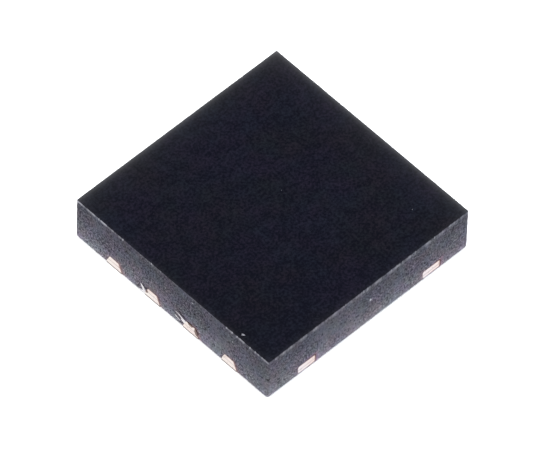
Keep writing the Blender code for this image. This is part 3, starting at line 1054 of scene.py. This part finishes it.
def paintWear(mesh, pits):
    # how freshly broken each vertex is, with the painted highlight along the arrises; how deeply pitted
    # it is, with painted shade there; and how stained it is
    names = ("scarAndHighlight", "pitResinAndShade", "stained")
    scarAndHighlight, pitResinAndShade, stained = [mesh.attributes.new(name, "FLOAT", "POINT") for name in names]
    hollows = [(centre, opening) for _, centre, opening in pits]
    hollows += placesAlong(tornGrooves.values())
    bright = [(centre, size) for _, centre, size in listPaleGrains()] + listFlecks()
    hollowTree, brightTree = [pointTree([centre for centre, _ in places]) for places in (hollows, bright)]
    for vert in mesh.vertices:
        stained.data[vert.index].value = stainLevel(vert.co)
        gaps = skinGaps(vert.co)
        depth = min(gaps)
        drop = gaps[3]
        _, index, gap = brightTree.find(vert.co)
        if gap < bright[index][1]:
            scarAndHighlight.data[vert.index].value = 1.0
            continue
        side = min(bodySides, key=lambda name: sideGap(name, vert.co))
        reachDown = edgeWearAndHighlight["band"][side][1] * mm
        if drop < reachDown and min(gaps[:2]) < reachDown:
            level = wearAndHighlightLevel(side, vert.co.dot(bodySides[side][1]))
            broken = clamped((depth - edgeWearAndHighlight["brokenFrom"]) / edgeWearAndHighlight["brokenSpan"])
            onSide = sideGap(side, vert.co) < 2 * edgeWearAndHighlight["recess"]
            # the pale line under a top arris: fractured compound with a painted highlight
            line = level * lineShare(side, drop) if onSide else 0.0
            scarAndHighlight.data[vert.index].value = max(line, broken * edgeWearAndHighlight["brokenLight"])
            continue
        _, index, gap = hollowTree.find(vert.co)
        if gap < hollows[index][1] * 1.2:
            # darker with depth: dark resin and painted shade in pits and grooves
            pitResinAndShade.data[vert.index].value = clamped(depth / pitSetup["fullDepth"])


def finishBody(mesh, pits):
    paintWear(mesh, pits)
    mesh.materials.clear()
    mesh.materials.append(makeSkinFinish())
    mesh.materials.append(makeSawnFinish())
    level = bodyShape["level"]
    for face in mesh.polygons:
        drop = bodyHigh.z - face.center.z
        onTop = drop < edgeWearAndHighlight["rim"] or (face.normal.z > level and drop < bodyShape["topDepth"])
        onUnderside = face.normal.z < -level and face.center.z - bodyLow.z < bodyShape["undersideDepth"]
        face.material_index = 0 if onTop or onUnderside else 1
    mesh.shade_smooth()
    mesh.set_sharp_from_angle(angle=math.radians(bodyShape["sharpAngle"]))


def makeBody():
    rng = random.Random(4)
    pits = choosePits(rng)
    bm = makeBlank()
    fine = [(centre, opening) for _, centre, opening in pits + listPaleGrains()] + listFlecks()
    fine += placesAlong(route for route, _ in listRoutes())
    for along, up, size, _ in stainPatches:
        fine.append((sidePoint("left", along * mm, up * mm), size * mm / 2))
    refineNear(bm, fine)
    wearArrises(bm)
    chipArrises(bm, rng)
    pitSides(bm, pits)
    pressRoutes(bm)
    bmesh.ops.triangulate(bm, faces=bm.faces)
    bmesh.ops.recalc_face_normals(bm, faces=bm.faces)
    print("body: sculpted block of", len(bm.faces), "triangles,", len(pits), "pits")
    mesh = keepCommon(meshObject("sculpted", bm), mergedCopy("mould_body"))
    mesh.name = "sawn_body"
    finishBody(mesh, pits)
    body = newObject("sawn_body", mesh)
    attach(body, "root")
    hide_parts("mould_body")
    print("body: finished with", sum(len(face.vertices) - 2 for face in mesh.polygons), "triangles")


makeBody()


# Copper: bright where it is sawn, tin underneath, etched elsewhere

stripShape = {
    "segments": 10,
    "perStation": 4,
    "lumpSize": 0.016 * mm,
    "lumpShare": 0.25,
    "lumpOut": 0.004 * mm,
    "lumpUp": 0.006 * mm,
    "sharpAngle": 50,
}

copperLook = {
    "cut": ((0.99, 0.95, 0.92), (0.95, 0.81, 0.77)),
    "warmth": (0.45, 0.40),  # shares of the blade's lines and of the clouds in it
    "roughness": (0.30, 0.22, 0.12),  # everywhere, more on tin, and more on the blade's lines
    "tintSpan": (-0.15, 0.15),  # where a cut end's left and right tints are (mm)
    "leadTints": ((1.00, 1.00, 0.98), (1.00, 0.950, 0.955)),
    "barTints": ((0.99, 0.995, 1.075), (0.985, 0.900, 0.900)),
    "furrowPaintedShade": 0.78,  # how dark the painted shade of a furrow across a cut end is
    "dipHeight": 0.116 * mm,
    "dipWidth": 0.024 * mm,
    "rim": (0.42, 0.20, 0.18),
    "rimWidth": 0.010,  # in mm
    "rimShare": 0.60,
    "speckShare": 0.22,
    "speckSpan": (0.55, 0.80),  # tones of the grains that are dark specks
    "etched": (0.72, 0.42, 0.28),
    "tin": ((0.55, 0.54, 0.53), (0.74, 0.73, 0.72)),
    # the band at a cut end's foot: grey sawn tin, darkened with painted shade under the lead
    "sawnTinAndShade": (0.42, 0.38, 0.37),
    "tinThickness": 0.034 * mm,
    "tornOxideAndShadow": (0.20, 0.12, 0.10),
    "tornMetal": 0.2,
    "cutGrain": 0.0006 * mm,
    "tinGrain": 0.0015 * mm,
    "dragged": ((0.80, 0.77, 0.80), (0.96, 0.94, 0.96)),
}

# Oxide that it dragged over the cut ends, and painted shadow of the scratches beside them: along, up and
# size (mm), on the left side
coveredAndShadedCopper = (
    (0.392, 0.192, 0.058), (0.506, 0.148, 0.032), (0.512, 0.108, 0.043), (0.530, 0.066, 0.034),
    (-0.532, 0.102, 0.044), (-0.512, 0.165, 0.018),
)


def makeCopperFinish():
    look = copperLook
    material, tree, shader = newMaterial("plated_copper_finish", 0.3, metallic=1.0)
    axes = objectAxes(tree)
    planes = [
        subtract(absolute(axes[axis]), edge - 0.002 * mm)
        for axis, edge in ((0, bodyHigh.x), (1, bodyHigh.y))
    ]
    onCut = isAbove(largest(*planes), 0.0)
    onTin = isBelow(axes[2], look["tinThickness"])
    lines = linesAt(tree, perMm=24, run=0.06)
    grain = placeGroup(tree, speckle, Grains=30, Noise=45)
    slow = cloudAt(tree, perMm=5.0)
    lineShare, slowShare = look["warmth"]
    warmth = scaleAdd(lines, lineShare, times(slow, slowShare))
    cut = mix(warmth, *look["cut"])
    outline = placeGroup(tree, copperEdge, Inside=look["rimWidth"])
    toRight = ramp(outline["Across"], *look["tintSpan"], kind="LINEAR")
    tints = [mix(toRight, *look[label]) for label in ("leadTints", "barTints")]
    cut = tinted(cut, mix(isAbove(planes[1], 0.0), *tints))
    # painted shade of a furrow across each cut end
    fromDip = absolute(subtract(axes[2], look["dipHeight"]))
    dip = ramp(fromDip, 0.0, look["dipWidth"], look["furrowPaintedShade"], 1.0)
    speck = ramp(grain["Grain"], *look["speckSpan"], 1.0, 1 - look["speckShare"])
    cut = derive("VectorMath", {0: cut, "Scale": times(dip, speck)}, operation="SCALE")
    cut = mix(times(outline["Inside"], look["rimShare"]), cut, look["rim"])
    # oxide dragged over the cut ends, and painted shadow of the scratches beside them
    tornOxideAndShadow = 0.0
    for along, up, size in coveredAndShadedCopper:
        gap = gapFrom(tree, sidePoint("left", along * mm, up * mm))
        ragged = scaleAdd(grain["Noise"], 0.3 * size * mm, gap)
        tornOxideAndShadow = largest(tornOxideAndShadow, ramp(ragged, 0.95 * size * mm, 1.25 * size * mm, 1.0, 0.0))
    cut = mix(tornOxideAndShadow, cut, look["tornOxideAndShadow"])
    # on a cut end the tin band is grey sawn tin with painted shade under the lead
    tin = mix(onCut, mix(grain["Noise"], *look["tin"]), look["sawnTinAndShade"])
    plug(shader["Base Color"], mix(onTin, mix(onCut, look["etched"], cut), tin))
    plug(shader["Metallic"], choose(times(tornOxideAndShadow, onCut), 1.0, look["tornMetal"]))
    usual, onTinMore, onLinesMore = look["roughness"]
    plug(shader["Roughness"], scaleAdd(lines, onLinesMore, scaleAdd(onTin, onTinMore, usual)))
    scored = bump(lines, look["cutGrain"])
    plug(shader["Normal"], bump(times(grain["Noise"], onTin), look["tinGrain"], Normal=scored))
    return material


def ringPlace(stations, index):
    # puts a unit circle across a strip of metal at one of its stations
    outward, across = bodySides["left"]
    along, up, halfWidth, thickness = stations[index]
    before = stations[max(index - 1, 0)]
    after = stations[min(index + 1, len(stations) - 1)]
    run = (across * (after[0] - before[0]) + Vector((0, 0, after[1] - before[1]))).normalized()
    centre = sidePoint("left", along, up) - outward * (thickness + bodyShape["inset"] / 2)
    turned = Matrix((outward.cross(run) * halfWidth, outward * thickness, run * thickness)).transposed()
    return Matrix.Translation(centre) @ turned.to_4x4()


def makeDraggedMetal(name, route, finish):
    stations = routePoints(route, stripShape["perStation"])
    bm = bmesh.new()
    ring = bmesh.ops.create_circle(bm, segments=stripShape["segments"], radius=1.0)["verts"]
    bmesh.ops.transform(bm, matrix=ringPlace(stations, 0), verts=ring)
    edges = firstEnd = bm.edges[:]
    for index in range(1, len(stations)):
        grown = bmesh.ops.extrude_edge_only(bm, edges=edges)["geom"]
        ring = [item for item in grown if isinstance(item, bmesh.types.BMVert)]
        edges = [item for item in grown if isinstance(item, bmesh.types.BMEdge)]
        step = ringPlace(stations, index) @ ringPlace(stations, index - 1).inverted()
        bmesh.ops.transform(bm, matrix=step, verts=ring)
    for end in (firstEnd, edges):
        bmesh.ops.edgeloop_fill(bm, edges=end)
    for vert in bm.verts:
        lump = stripShape["lumpShare"] * noise.noise(vert.co / stripShape["lumpSize"])
        vert.co.x += abs(lump) * stripShape["lumpOut"]
        vert.co.z += lump * stripShape["lumpUp"]
    bmesh.ops.recalc_face_normals(bm, faces=bm.faces)
    strip = meshObject(name, bm)
    strip.data.materials.append(finish)
    strip.data.shade_smooth()
    strip.data.set_sharp_from_angle(angle=math.radians(stripShape["sharpAngle"]))
    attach(strip, "root")


draggedFinish = makeGrainyFinish("dragged_metal", 0.45, 0.55, 60, copperLook["dragged"])
for stripName, route in draggedMetal.items():
    makeDraggedMetal(stripName, route, draggedFinish)
print("copper:", len(draggedMetal), "strips of dragged metal")


# What the compound hides

innerLook = {
    "adhesive": ((0.30, 0.30, 0.31), (0.50, 0.50, 0.51)),
    "siliconSide": (0.16, 0.17, 0.19),
    "circuitGreen": (0.10, 0.16, 0.14),
    "circuitViolet": (0.20, 0.13, 0.24),
    "gold": ((0.93, 0.68, 0.28), (0.97, 0.78, 0.42)),
}


def makeSiliconFinish():
    material, tree, shader = newMaterial("silicon_finish", 0.16, metallic=0.4)
    lines = linesAt(tree, perMm=80, run=0.05)
    feeds = {
        "Vector": objectPlace(tree), "Scale": 1 / mm, "Color1": innerLook["circuitGreen"],
        "Color2": innerLook["circuitViolet"], "Mortar": innerLook["siliconSide"],
        "Mortar Size": 0.008, "Brick Width": 0.36, "Row Height": 0.24,
    }
    blocks = derive("TexBrick", feeds, offset=0.0)
    facing = derive("SeparateXYZ", {0: addNode(tree, "NewGeometry").outputs["Normal"]}, 2)
    onTop = isAbove(facing, 0.9)
    plug(shader["Base Color"], mix(onTop, innerLook["siliconSide"], blocks))
    plug(shader["Roughness"], scaleAdd(onTop, -0.2, 0.38))
    plug(shader["Normal"], bump(lines, 0.0006 * mm))
    return material


def makeGoldFinish():
    material, tree, shader = newMaterial("gold_wire_finish", 0.22, metallic=1.0)
    slow = cloudAt(tree, perMm=14.0)
    plug(shader["Base Color"], mix(slow, *innerLook["gold"]))
    plug(shader["Roughness"], scaleAdd(slow, 0.1, 0.18))
    return material


def dressFrameNodes():
    finishes = {
        "plated_copper": makeCopperFinish(),
        "die_adhesive": makeGrainyFinish("die_adhesive_finish", 0.55, 0.5, 30, innerLook["adhesive"]),
        "silicon": makeSiliconFinish(),
        "gold_wire": makeGoldFinish(),
    }
    dressed = 0
    for part in frame["record"]["subparts"]:
        if part["material_slot"] in finishes:
            materials = frame["nodes"][part["node"]].data.materials
            materials.clear()
            materials.append(finishes[part["material_slot"]])
            dressed += 1
    print("frame: dressed", dressed, "nodes")


dressFrameNodes()
